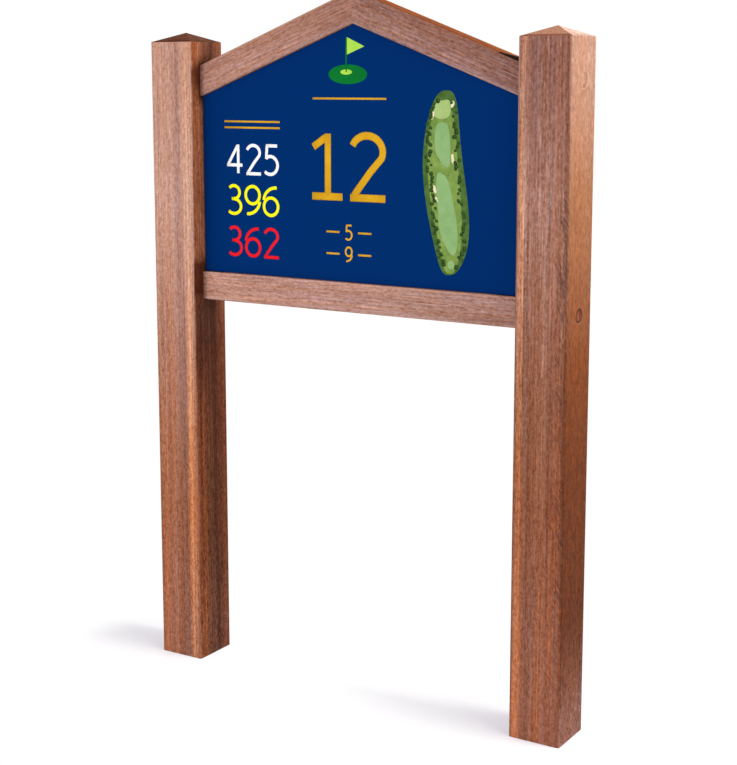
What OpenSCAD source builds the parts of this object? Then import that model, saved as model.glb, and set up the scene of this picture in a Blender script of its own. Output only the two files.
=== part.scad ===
// Golf tee sign: two square timber posts, a bottom rail and two mitred gable rails
// round a five-sided sign panel. Millimetres, +Z up, front faces towards -Y.
// The origin is on the ground, midway between the posts.

/* [Posts] */
// Width and depth of a square post
post_w = 95; // [80:1:120]
// Height of a post above the upper end of its gable rail, without the sloped top
post_reach = 42; // [15:0.5:120]
// Rise of the four slopes on a post top
cap_rise = 18; // [8:1:35]
// Radius of the long arrises of a post
post_arris_r = 4.5; // [1:0.5:8]
// Clear gap between the posts
gap_w = 668; // [560:1:800]

/* [Rails] */
// Thickness of the rails, front to back
rail_t = 42; // [38:1:60]
// Height of the bottom rail
bottom_rail_h = 54; // [46:1:80]
// Height of the gable rails, square to their slope
gable_rail_h = 54; // [48:1:70]
// Height of the bottom rail's top edge above the ground
bottom_rail_top_z = 760; // [400:1:1000]
// Height of the panel opening beside the posts
side_open_h = 326; // [240:1:420]
// Rise of the opening from the posts to the ridge
gable_rise = 127; // [90:0.5:140]
// Radius of the long arrises of a rail
rail_arris_r = 4; // [1:0.5:5]
// Depth of the rebate that holds the panel
rebate_d = 8; // [6:0.5:11]
// Thickness of the lip in front of the panel
lip_t = 7; // [5:0.5:10]

/* [Panel] */
// Thickness of the printed front sheet
face_t = 3; // [2:0.5:4]
// Thickness of the board behind the printed sheet
core_t = 12; // [9:0.5:14]
// Thickness of the plain back sheet
back_t = 2; // [1:0.5:3]
// Gap between the panel and each post
panel_side_gap = 1.5; // [0.5:0.5:3]
// Gap between the panel's sloped edges and their rebates
panel_edge_gap = 2; // [1:0.5:3]
// Thickness of the packers under the panel
packer_t = 2; // [1:0.5:4]
// Length of a packer
packer_l = 60; // [30:5:100]

/* [Beads] */
// Height of the beads and width of the side battens
bead_h = 18; // [14:1:24]
// Distance of the beads' back faces from the rails' back faces
bead_inset = 2; // [0:0.5:4]
// Chamfer on the exposed arris of a bead
bead_chamfer = 3; // [1:0.5:5]
// Gap between the ends of neighbouring beads and posts
bead_end_gap = 0.5; // [0.2:0.1:1]
// Distance from a bead's ends to its first screws
bead_screw_inset = 60; // [50:1:80]
// Distance from a batten's ends to its frame screws
batten_screw_inset = 40; // [25:1:60]
// Distance from a batten's ends to its panel screws
panel_screw_inset = 95; // [80:1:105]

/* [Fixings] */
// Diameter of the coach screws
coach_d = 8; // [6:1:10]
// Bite of a coach screw in its rail
coach_bite = 33; // [25:1:40]
// Width across the flats of a coach screw's head
coach_head_af = 13; // [10:1:17]
// Height of a coach screw's head
coach_head_h = 5.5; // [4:0.5:7]
// Pitch of a coach screw's thread
coach_pitch = 3.6; // [2:0.1:4]
// Outside diameter of a coach screw's washer
washer_d = 24; // [18:1:24]
// Thickness of a coach screw's washer
washer_t = 2; // [1:0.5:3]
// Diameter of the counterbores in the posts
counterbore_d = 25; // [25:1:32]
// Length of the timber plugs that close the counterbores
plug_l = 18; // [10:1:25]
// Distance of a plug's end below the post's face
plug_recess = 0.6; // [0.2:0.1:2]
// Chamfer round a plug and round its counterbore
plug_chamfer = 0.8; // [0.4:0.1:1.5]
// Diameter of the dowels
dowel_d = 10; // [8:1:12]
// Length of a dowel
dowel_l = 50; // [40:1:70]
// Height of the lower dowels above the bottom rail's underside
dowel_rise = 14; // [11:1:18]
// Depth of the upper dowels below the gable rails' top edges
dowel_drop = 12; // [10:1:15]
// Thickness of the tongue in the ridge mitre
tongue_t = 6; // [4:0.5:9]
// Length of the tongue across the mitre
tongue_l = 40; // [30:1:60]
// Diameter of the bead and panel screws
screw_d = 4; // [3:0.5:5]
// Head diameter of the bead and panel screws
screw_head_d = 8; // [7:0.5:9]
// Bite of a bead screw beyond its bead
bead_screw_bite = 17; // [12:1:20]
// Bite of a panel screw in the board
panel_screw_bite = 6; // [4:0.5:7]

/* [Clearances] */
// Gap round a coach screw in its post
coach_post_gap = 0.5; // [0.3:0.1:1]
// Gap round a screw, dowel, tongue or plug in its hole
hole_gap = 0.1; // [0.05:0.05:0.2]
// Space beyond the ends of screws and dowels in blind holes
tip_gap = 1.5; // [1:0.5:3]
// Space between a plug and the screw head under it
plug_head_gap = 4; // [1:0.5:6]
// Least timber between a hole and the face beside it
hole_cover = 4; // [3:0.5:5]
// Timber between a dowel and a rail's front or back face
dowel_cover = 5; // [3:0.5:6]

/* [Hidden] */
$fn = 64;
eps = 0.5;

// Frame
half_gap = gap_w / 2;
post_x = half_gap + post_w / 2;
outer_x = half_gap + post_w;
rail_front_y = -rail_t / 2;
rail_back_y = rail_t / 2;
bottom_rail_z = bottom_rail_top_z - bottom_rail_h;
side_z = bottom_rail_top_z + side_open_h;
ridge_z = side_z + gable_rise;
slope = atan(gable_rise / half_gap);
gable_l = half_gap / cos(slope);
gable_cut_h = gable_rail_h / cos(slope);
post_eaves_z = side_z + gable_cut_h + post_reach;

// Panel and beads, front to back
panel_y = rail_front_y + lip_t;
core_y = panel_y + face_t;
back_y = core_y + core_t;
bead_y = back_y + back_t;
bead_t = rail_back_y - bead_inset - bead_y;
bead_mid_y = bead_y + bead_t / 2;
bottom_floor_z = bottom_rail_top_z - rebate_d;
panel_z = bottom_floor_z + packer_t;
panel_half_w = half_gap - panel_side_gap;
panel_rise = (rebate_d - panel_edge_gap) / cos(slope);
bead_top_z = bottom_floor_z + bead_h;
bead_drop = (bead_h - rebate_d) / cos(slope);
packer_x = half_gap / 2;

// Joints between rails and posts
counterbore_l = plug_recess + plug_l + plug_head_gap + coach_head_h + washer_t;
coach_l = washer_t + post_w - counterbore_l + coach_bite;
coach_root_r = coach_d * 0.375;
coach_rings = floor(coach_l * 0.6 / coach_pitch);
coach_plain_l = coach_l - coach_rings * coach_pitch - coach_root_r;
tip_rise = (coach_bite + tip_gap) * tan(slope);
gable_coach_up = rebate_d / cos(slope) + tip_rise + coach_d / 2 + hole_cover;
coach_zs = [bottom_rail_z + bottom_rail_h / 2, side_z + gable_coach_up];
dowel_y = rail_t / 2 - dowel_cover - dowel_d / 2;
dowel_zs = [bottom_rail_z + dowel_rise, side_z + gable_cut_h - dowel_drop];

// Tongue in the mitre, above the rebate and below the sloped tops
tongue_z = ridge_z + rebate_d / cos(slope) + hole_cover;
tongue_top_z = ridge_z + gable_cut_h - tongue_l / 2 * tan(slope) - hole_cover;
tongue_h = tongue_top_z - tongue_z;

// Screws
bead_screw_l = bead_h + bead_screw_bite;
panel_screw_l = bead_t + back_t + panel_screw_bite;
bead_screw_step = (gap_w - 2 * bead_screw_inset) / 3;
bottom_screw_xs = [for (i = [0:3]) -half_gap + bead_screw_inset + i * bead_screw_step];
gable_screw_xs = [bead_screw_inset, gable_l / 2, gable_l - bead_screw_inset];
batten_low_z = bead_top_z;
batten_high_z = side_z - bead_drop;
batten_screw_zs = [batten_low_z + batten_screw_inset, batten_high_z - batten_screw_inset];
panel_screw_zs = [batten_low_z + panel_screw_inset, batten_high_z - panel_screw_inset];

// A piece drawn for the left side, on the left (side -1) or mirrored to the right (side 1)
module on_side(side) {
    if (side < 0) children();
    else mirror([1, 0, 0]) children();
}

// Turns a flat outline so that it runs along +X: outline x becomes Y, outline y becomes Z
module along_x(length) {
    rotate([90, 0, 90]) linear_extrude(height = length) children();
}

// Turns an outline drawn in X and Z into a sheet that starts at y and is t thick
module sheet(y, t) {
    translate([0, y + t, 0]) rotate([90, 0, 0]) linear_extrude(height = t) children();
}

// Rectangle with round corners, its lower left corner at the origin
module rounded_rect(w, h, r) {
    translate([r, 0]) square([w - 2 * r, h]);
    translate([0, r]) square([w, h - 2 * r]);
    for (x = [r, w - r], y = [r, h - r]) translate([x, y]) circle(r = r);
}

// Section of a rail with its rebate along the lower edge, behind the front lip
module rail_section(h) {
    difference() {
        translate([rail_front_y, 0]) rounded_rect(rail_t, h, rail_arris_r);
        translate([panel_y, -eps]) square([rail_t, rebate_d + eps]);
    }
}

// Section of a bead with its lower back arris chamfered, its top face at height 0
module bead_section() {
    polygon([
        [bead_y, 0], [bead_y, -bead_h],
        [bead_y + bead_t - bead_chamfer, -bead_h],
        [bead_y + bead_t, bead_chamfer - bead_h],
        [bead_y + bead_t, 0]
    ]);
}

// Places things on the left slope: X runs up the lower edge of the gable rail from the post
module on_slope() {
    translate([-half_gap, 0, side_z]) rotate([0, -slope, 0]) children();
}

// Keeps the part of a sloped bar that lies between the left post and the ridge
module between_post_and_ridge(end_gap) {
    intersection() {
        children();
        translate([-half_gap + end_gap, -rail_t, side_z - gable_rail_h])
            cube([half_gap - end_gap, 2 * rail_t, gable_rise + 3 * gable_rail_h]);
    }
}

// Countersunk slotted screw along +Z, its head flush at the origin
module wood_screw(l) {
    head_h = (screw_head_d - screw_d) / 2;
    slot_w = screw_head_d / 8;
    difference() {
        union() {
            cylinder(d1 = screw_head_d, d2 = screw_d, h = head_h);
            cylinder(d = screw_d, h = l - screw_d);
            translate([0, 0, l - screw_d]) cylinder(d1 = screw_d, d2 = screw_d / 8, h = screw_d);
        }
        translate([-screw_head_d, -slot_w / 2, -eps]) cube([2 * screw_head_d, slot_w, slot_w + eps]);
    }
}

// Hole for a countersunk screw along +Z, with its countersink at the origin
module wood_screw_hole(l) {
    d = screw_d + 2 * hole_gap;
    sink_d = screw_head_d + 2 * hole_gap;
    sink_h = (sink_d - d) / 2;
    translate([0, 0, -eps]) cylinder(d = d, h = l + tip_gap + eps);
    translate([0, 0, -eps]) cylinder(d1 = sink_d + 2 * eps, d2 = d, h = sink_h + eps);
}

// Places of the screws, each drawn along +Z from its head
module at_bottom_bead_screws() {
    for (x = bottom_screw_xs) translate([x, bead_mid_y, bead_top_z]) rotate([180, 0, 0]) children();
}

module at_gable_bead_screws() {
    on_slope() for (x = gable_screw_xs) translate([x, bead_mid_y, rebate_d - bead_h]) children();
}

module at_batten_screws() {
    for (z = batten_screw_zs) translate([-half_gap + bead_h, bead_mid_y, z]) rotate([0, -90, 0]) children();
}

module at_panel_screws() {
    for (z = panel_screw_zs) {
        translate([-half_gap + bead_h / 2, bead_y + bead_t, z]) rotate([90, 0, 0]) children();
    }
}

// Places of the two coach screws of the left post, along +Z from the post's outer face
module at_coach_screws() {
    for (z = coach_zs) translate([-outer_x, 0, z]) rotate([0, 90, 0]) children();
}

// Places of the dowels of the left post, centred on its inner face
module at_dowels() {
    for (z = dowel_zs, y = [-dowel_y, dowel_y]) translate([-half_gap, y, z]) rotate([0, 90, 0]) children();
}

module dowel_hole() {
    cylinder(d = dowel_d + 2 * hole_gap, h = dowel_l + 2 * tip_gap, center = true);
}

// Blind hole in a rail for a coach screw, along +Z from the post's outer face
module coach_rail_hole() {
    cylinder(d = coach_d + 2 * hole_gap, h = post_w + coach_bite + tip_gap);
}

// Stepped hole through a post for a coach screw, its washer and its plug
module coach_post_hole() {
    translate([0, 0, -eps]) cylinder(d = coach_d + 2 * coach_post_gap, h = post_w + 2 * eps);
    translate([0, 0, -eps]) cylinder(d = counterbore_d, h = counterbore_l + eps);
    mouth_d = counterbore_d + 2 * plug_chamfer;
    translate([0, 0, -eps]) cylinder(d1 = mouth_d + 2 * eps, d2 = counterbore_d, h = plug_chamfer + eps);
}

// Post with its outer side at -X
module post_shape() {
    post_top_z = post_eaves_z + cap_rise;
    half_w = post_w / 2;
    roof = [
        [-half_w, -eps], [half_w, -eps],
        [half_w, post_eaves_z], [0, post_top_z], [-half_w, post_eaves_z]
    ];
    difference() {
        intersection() {
            translate([-outer_x, -half_w, 0])
                linear_extrude(height = post_top_z) rounded_rect(post_w, post_w, post_arris_r);
            translate([-post_x, 0, 0]) sheet(-half_w, post_w) polygon(roof);
            translate([-outer_x, 0, 0]) along_x(post_w) polygon(roof);
        }
        at_coach_screws() coach_post_hole();
        at_dowels() dowel_hole();
        at_batten_screws() wood_screw_hole(bead_screw_l);
    }
}

// Left gable rail: upright cut at the post, mitre at the ridge
module gable_rail_shape() {
    difference() {
        between_post_and_ridge(0) on_slope() translate([-gable_rail_h, 0, 0])
            along_x(gable_l + 2 * gable_rail_h) rail_section(gable_rail_h);
        at_coach_screws() coach_rail_hole();
        at_dowels() dowel_hole();
        at_gable_bead_screws() wood_screw_hole(bead_screw_l);
        tongue_block(hole_gap);
    }
}

// Tongue across the ridge mitre, grown by gap to cut its slots
module tongue_block(gap) {
    translate([-tongue_l / 2 - gap, -tongue_t / 2 - gap, tongue_z - gap])
        cube([tongue_l + 2 * gap, tongue_t + 2 * gap, tongue_h + 2 * gap]);
}

// Left gable bead, in the rebate behind the panel
module gable_bead_shape() {
    difference() {
        between_post_and_ridge(bead_end_gap) on_slope() translate([-gable_rail_h, 0, rebate_d])
            along_x(gable_l + 2 * gable_rail_h) bead_section();
        at_gable_bead_screws() wood_screw_hole(bead_screw_l);
    }
}

// Left side batten between the bottom bead and the gable bead
module batten_shape() {
    inner_x = -half_gap + bead_h;
    low_z = batten_low_z + bead_end_gap;
    high_z = batten_high_z - bead_end_gap;
    difference() {
        intersection() {
            linear_extrude(height = side_z) polygon([
                [-half_gap, bead_y], [inner_x, bead_y],
                [inner_x, bead_y + bead_t - bead_chamfer],
                [inner_x - bead_chamfer, bead_y + bead_t],
                [-half_gap, bead_y + bead_t]
            ]);
            sheet(bead_y, bead_t) polygon([
                [-half_gap, low_z], [inner_x, low_z],
                [inner_x, high_z + bead_h * tan(slope)], [-half_gap, high_z]
            ]);
        }
        at_batten_screws() wood_screw_hole(bead_screw_l);
        at_panel_screws() wood_screw_hole(panel_screw_l);
    }
}

// One sheet of the panel, from y and t thick
module panel_sheet(y, t) {
    shoulder_z = side_z + panel_side_gap * tan(slope) + panel_rise;
    sheet(y, t) polygon([
        [-panel_half_w, panel_z], [panel_half_w, panel_z],
        [panel_half_w, shoulder_z], [0, ridge_z + panel_rise], [-panel_half_w, shoulder_z]
    ]);
}

// Holes of the panel screws on both sides
module panel_screw_holes() {
    for (side = [-1, 1]) on_side(side) at_panel_screws() wood_screw_hole(panel_screw_l);
}

module left_post() {
    color([0.60, 0.41, 0.33]) on_side(-1) post_shape();
}

module right_post() {
    color([0.60, 0.41, 0.33]) on_side(1) post_shape();
}

module left_gable_rail() {
    color([0.72, 0.53, 0.45]) on_side(-1) gable_rail_shape();
}

module right_gable_rail() {
    color([0.66, 0.48, 0.42]) on_side(1) gable_rail_shape();
}

module bottom_rail() {
    color([0.70, 0.50, 0.42]) difference() {
        translate([-half_gap, 0, bottom_rail_top_z]) mirror([0, 0, 1])
            along_x(gap_w) rail_section(bottom_rail_h);
        for (side = [-1, 1]) on_side(side) {
            at_coach_screws() coach_rail_hole();
            at_dowels() dowel_hole();
        }
        at_bottom_bead_screws() wood_screw_hole(bead_screw_l);
    }
}

module panel_face() {
    color([0.01, 0.18, 0.42]) panel_sheet(panel_y, face_t);
}

module panel_core() {
    color([0.76, 0.64, 0.46]) difference() {
        panel_sheet(core_y, core_t);
        panel_screw_holes();
    }
}

module panel_back() {
    color([0.82, 0.82, 0.80]) difference() {
        panel_sheet(back_y, back_t);
        panel_screw_holes();
    }
}

module panel_packers() {
    color([0.20, 0.20, 0.20]) for (x = [-packer_x, packer_x]) {
        translate([x - packer_l / 2, panel_y, bottom_floor_z]) cube([packer_l, bead_y - panel_y, packer_t]);
    }
}

module bottom_bead() {
    color([0.64, 0.45, 0.36]) difference() {
        translate([-half_gap + bead_end_gap, 0, bottom_floor_z]) mirror([0, 0, 1])
            along_x(gap_w - 2 * bead_end_gap) bead_section();
        at_bottom_bead_screws() wood_screw_hole(bead_screw_l);
    }
}

module left_gable_bead() {
    color([0.64, 0.45, 0.36]) on_side(-1) gable_bead_shape();
}

module right_gable_bead() {
    color([0.64, 0.45, 0.36]) on_side(1) gable_bead_shape();
}

module left_batten() {
    color([0.64, 0.45, 0.36]) on_side(-1) batten_shape();
}

module right_batten() {
    color([0.64, 0.45, 0.36]) on_side(1) batten_shape();
}

module apex_tongue() {
    color([0.80, 0.68, 0.50]) tongue_block(0);
}

module rail_dowels() {
    color([0.80, 0.68, 0.50]) for (side = [-1, 1]) on_side(side) at_dowels() {
        cylinder(d = dowel_d, h = dowel_l, center = true);
    }
}

// Thread of a coach screw as rings of one pitch each, with its point
module coach_thread() {
    crest_r = coach_d / 2;
    thread_l = coach_rings * coach_pitch;
    rings = [
        for (i = [0:coach_rings - 1], k = [0, 1])
            [k == 0 ? coach_root_r : crest_r, (i + k / 2) * coach_pitch]
    ];
    tip = [[coach_root_r, thread_l], [0, thread_l + coach_root_r]];
    rotate_extrude() polygon(concat([[0, 0]], rings, tip));
}

module coach_screws() {
    head_r = coach_head_af / 2 / cos(30);
    color([0.70, 0.71, 0.72]) for (side = [-1, 1]) on_side(side) at_coach_screws() {
        translate([0, 0, counterbore_l - washer_t]) {
            translate([0, 0, -coach_head_h]) cylinder(r = head_r, h = coach_head_h, $fn = 6);
            cylinder(d = coach_d, h = coach_plain_l);
            translate([0, 0, coach_plain_l]) coach_thread();
        }
    }
}

module screw_washers() {
    color([0.70, 0.71, 0.72]) for (side = [-1, 1]) on_side(side) at_coach_screws() difference() {
        translate([0, 0, counterbore_l - washer_t]) cylinder(d = washer_d, h = washer_t);
        cylinder(d = coach_d + 2 * hole_gap, h = post_w);
    }
}

module post_plugs() {
    plug_d = counterbore_d - 2 * hole_gap;
    color([0.50, 0.28, 0.20]) for (side = [-1, 1]) on_side(side) at_coach_screws() {
        translate([0, 0, plug_recess]) {
            cylinder(d1 = plug_d - 2 * plug_chamfer, d2 = plug_d, h = plug_chamfer);
            translate([0, 0, plug_chamfer]) cylinder(d = plug_d, h = plug_l - plug_chamfer);
        }
    }
}

module bead_screws() {
    color([0.78, 0.62, 0.28]) {
        at_bottom_bead_screws() wood_screw(bead_screw_l);
        for (side = [-1, 1]) on_side(side) {
            at_gable_bead_screws() wood_screw(bead_screw_l);
            at_batten_screws() wood_screw(bead_screw_l);
        }
    }
}

module panel_screws() {
    color([0.78, 0.62, 0.28]) for (side = [-1, 1]) on_side(side) {
        at_panel_screws() wood_screw(panel_screw_l);
    }
}

left_post();
right_post();
left_gable_rail();
right_gable_rail();
bottom_rail();
panel_face();
panel_core();
panel_back();
panel_packers();
bottom_bead();
left_gable_bead();
right_gable_bead();
left_batten();
right_batten();
apex_tongue();
rail_dowels();
coach_screws();
screw_washers();
post_plugs();
bead_screws();
panel_screws();
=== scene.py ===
"""Looks of a golf tee sign: camera, light, hardwood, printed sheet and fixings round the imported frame."""

import math
import random

import bmesh
import bpy
from mathutils import Matrix, Vector


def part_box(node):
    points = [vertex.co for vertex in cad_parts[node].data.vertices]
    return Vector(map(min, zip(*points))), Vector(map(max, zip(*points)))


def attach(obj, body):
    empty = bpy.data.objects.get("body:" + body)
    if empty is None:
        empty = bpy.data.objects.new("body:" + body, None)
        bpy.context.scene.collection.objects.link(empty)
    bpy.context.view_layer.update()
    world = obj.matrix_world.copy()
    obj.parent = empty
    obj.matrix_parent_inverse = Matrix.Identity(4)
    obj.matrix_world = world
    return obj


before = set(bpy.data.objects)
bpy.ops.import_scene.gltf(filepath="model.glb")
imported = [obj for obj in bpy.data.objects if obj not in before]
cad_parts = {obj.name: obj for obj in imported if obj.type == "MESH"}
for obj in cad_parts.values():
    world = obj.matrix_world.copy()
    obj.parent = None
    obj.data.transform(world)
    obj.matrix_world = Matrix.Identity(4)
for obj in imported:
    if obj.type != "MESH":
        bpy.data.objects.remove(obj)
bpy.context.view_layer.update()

MM = 0.001

# Camera, fitted to the corners of the posts and rails
CAMERA_PLACE = (1.448, -2.287, 1.116)
CAMERA_YAW = math.radians(31.96)
CAMERA_PITCH = math.radians(8.69)
CAMERA_LENS = 71.9
CAMERA_SHIFT_Y = -0.09

# Where the CAD pieces lie
POST_LOW, POST_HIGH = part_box("right_post")
POST_HALF = (POST_HIGH.x - POST_LOW.x) / 2
POST_CENTRE_X = (POST_LOW.x + POST_HIGH.x) / 2
POST_TOP = POST_HIGH.z
INNER_X = POST_LOW.x
RAIL_LOW, RAIL_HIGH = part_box("bottom_rail")
RAIL_CENTRE_Z = (RAIL_LOW.z + RAIL_HIGH.z) / 2
RAIL_HALF_HEIGHT = (RAIL_HIGH.z - RAIL_LOW.z) / 2
RAIL_HALF_DEPTH = RAIL_HIGH.y
GABLE_LOW, GABLE_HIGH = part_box("right_gable_rail")
GABLE_RISE = 0.127
GABLE_SLOPE = math.atan2(GABLE_RISE, INNER_X)
GABLE_END_LOW = GABLE_LOW.z
GABLE_END_HIGH = GABLE_HIGH.z - GABLE_RISE
GABLE_CENTRE_Z = GABLE_END_LOW + GABLE_RISE / 2 + RAIL_HALF_HEIGHT / math.cos(GABLE_SLOPE)
PANEL_FRONT_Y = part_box("panel_face")[0].y
PLUG_RADIUS = 0.0124
PLUG_ABOVE_GABLE_END = 0.0297
PLUG_HEIGHTS = (RAIL_CENTRE_Z, GABLE_END_LOW + PLUG_ABOVE_GABLE_END)


def add_object(name, data):
    """A new object in the scene, made of a mesh, a curve, a lamp or a camera."""
    item = bpy.data.objects.new(name, data)
    bpy.context.scene.collection.objects.link(item)
    return item


def srgb(red, green, blue):
    """A colour written as 0-255 screen values, as the linear RGBA that the nodes take."""
    def linear(value):
        share = value / 255
        return share / 12.92 if share <= 0.04045 else ((share + 0.055) / 1.055) ** 2.4
    return (linear(red), linear(green), linear(blue), 1.0)


def tones(*rows):
    """Ramp stops of screen colours, from rows of place in hundredths, red, green and blue."""
    return [(place / 100, srgb(*colour)) for place, *colour in rows]


def tints(*rows):
    """Ramp stops of factors, halved so that a ramp holds them, from rows of place and red, green and
    blue factors, all in hundredths."""
    return [(place / 100, (*(factor / 200 for factor in factors), 1.0)) for place, *factors in rows]


NO_TINT = (0.5, 0.5, 0.5, 1.0)


# Nodes


def fill(socket, value):
    """Joins a socket to a field, or sets it."""
    if isinstance(value, Field):
        value.tree.links.new(value.socket, socket)
    else:
        socket.default_value = value


def fill_all(sockets, values):
    """Joins or sets sockets, by name or number."""
    for key, value in values.items():
        fill(sockets[key], value)


def add_node(tree, kind, settings, inputs):
    """A new shader node of a kind, with its settings made and its inputs filled."""
    node = tree.nodes.new("ShaderNode" + kind)
    for key, value in settings.items():
        setattr(node, key, value)
    fill_all(node.inputs, inputs)
    return node


class Field:
    """A number, vector, colour or shader that changes over a surface: what one socket puts out."""

    def __init__(self, tree, socket):
        self.tree = tree
        self.socket = socket

    def node(self, kind, settings, inputs, output=0):
        """What a new node of the same tree puts out."""
        return Field(self.tree, add_node(self.tree, kind, settings, inputs).outputs[output])

    def calc(self, operation, first, second=0.0):
        """One Math node's result."""
        return self.node("Math", {"operation": operation}, {0: first, 1: second})

    def __add__(self, other):
        return self.calc("ADD", self, other)

    def __radd__(self, other):
        return self.calc("ADD", other, self)

    def __sub__(self, other):
        return self.calc("SUBTRACT", self, other)

    def __rsub__(self, other):
        return self.calc("SUBTRACT", other, self)

    def __mul__(self, other):
        return self.calc("MULTIPLY", self, other)

    def __truediv__(self, other):
        return self.calc("DIVIDE", self, other)

    def __abs__(self):
        return self.calc("ABSOLUTE", self)

    def larger(self, other):
        """The larger of two numbers."""
        return self.calc("MAXIMUM", self, other)

    def spread(self, low, high, to_low=0.0, to_high=1.0, smooth=False):
        """Maps low..high of a number to to_low..to_high, and no further."""
        settings = {"clamp": True, "interpolation_type": "SMOOTHSTEP" if smooth else "LINEAR"}
        inputs = {"Value": self, "From Min": low, "From Max": high, "To Min": to_low, "To Max": to_high}
        return self.node("MapRange", settings, inputs, "Result")

    def between(self, first, second):
        """The first number where this is 0, the second where it is 1."""
        return self.spread(0.0, 1.0, first, second)

    def blend(self, first, second):
        """The first colour where this is 0, the second where it is 1."""
        settings = {"data_type": "RGBA", "clamp_factor": True}
        return self.node("Mix", settings, {0: self, 6: first, 7: second}, 2)

    def ramp(self, stops):
        """A colour for each number, from (place, colour) stops."""
        node = add_node(self.tree, "ValToRGB", {}, {0: self})
        elements = node.color_ramp.elements
        while len(elements) < len(stops):
            elements.new(0.5)
        for element, (place, colour) in zip(elements, stops):
            element.position = place
            element.color = colour
        return Field(self.tree, node.outputs["Color"])

    def vector(self, operation, inputs, output=0):
        """One Vector Math node's result."""
        return self.node("VectorMath", {"operation": operation}, {0: self, **inputs}, output)

    def moved(self, offset):
        """A vector with an offset added."""
        return self.vector("ADD", {1: offset})

    def stretched(self, factors):
        """A vector with each of its parts multiplied by its own factor."""
        return self.vector("MULTIPLY", {1: factors})

    def scaled(self, factor):
        """A vector times a number."""
        return self.vector("SCALE", {"Scale": factor})

    def tinted(self, factors):
        """A colour times a tint from a ramp."""
        return self.stretched(factors.scaled(2.0))

    def length(self):
        """How long a vector is."""
        return self.vector("LENGTH", {}, "Value")

    def parts(self):
        """The X, Y and Z of a vector."""
        outputs = add_node(self.tree, "SeparateXYZ", {}, {0: self}).outputs
        return [Field(self.tree, socket) for socket in outputs]

    def noise(self, scale, detail, rough):
        """A noise value at each place, with one scale or with three."""
        even = not isinstance(scale, tuple)
        place = self if even else self.stretched(scale)
        inputs = {"Vector": place, "Scale": scale if even else 1.0, "Detail": detail, "Roughness": rough}
        return self.node("TexNoise", {}, inputs, "Fac")

    def facing(self, axis, low, high):
        """How far a surface with this direction faces an axis: +X, -Z and so on."""
        part = self.parts()["XYZ".index(axis[1])]
        return (part if axis[0] == "+" else part * -1.0).spread(low, high)

    def group(self, group, inputs):
        """What a node group puts out in this tree, by name."""
        outputs = add_node(self.tree, "Group", {"node_tree": group}, inputs).outputs
        return {socket.name: Field(self.tree, socket) for socket in outputs}


def joined(x, y, z=0.0):
    """A vector from its parts."""
    return x.node("CombineXYZ", {}, {0: x, 1: y, 2: z})


SOCKET_KINDS = {1: "NodeSocketFloat", 3: "NodeSocketVector", 4: "NodeSocketColor"}


def new_group(name, defaults):
    """An empty shader node group, and its inputs by name, each of the kind that its default is."""
    tree = bpy.data.node_groups.new(name, "ShaderNodeTree")
    for label, default in defaults.items():
        kind = SOCKET_KINDS[len(default) if isinstance(default, tuple) else 1]
        socket = tree.interface.new_socket(label, in_out="INPUT", socket_type=kind)
        socket.default_value = default
    outputs = tree.nodes.new("NodeGroupInput").outputs
    return tree, {label: Field(tree, outputs[label]) for label in defaults}


def give_out(tree, results):
    """Makes a group's outputs, of which Color is a colour and the rest are numbers."""
    for label in results:
        kind = SOCKET_KINDS[4 if label == "Color" else 1]
        tree.interface.new_socket(label, in_out="OUTPUT", socket_type=kind)
    fill_all(tree.nodes.new("NodeGroupOutput").inputs, results)


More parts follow.
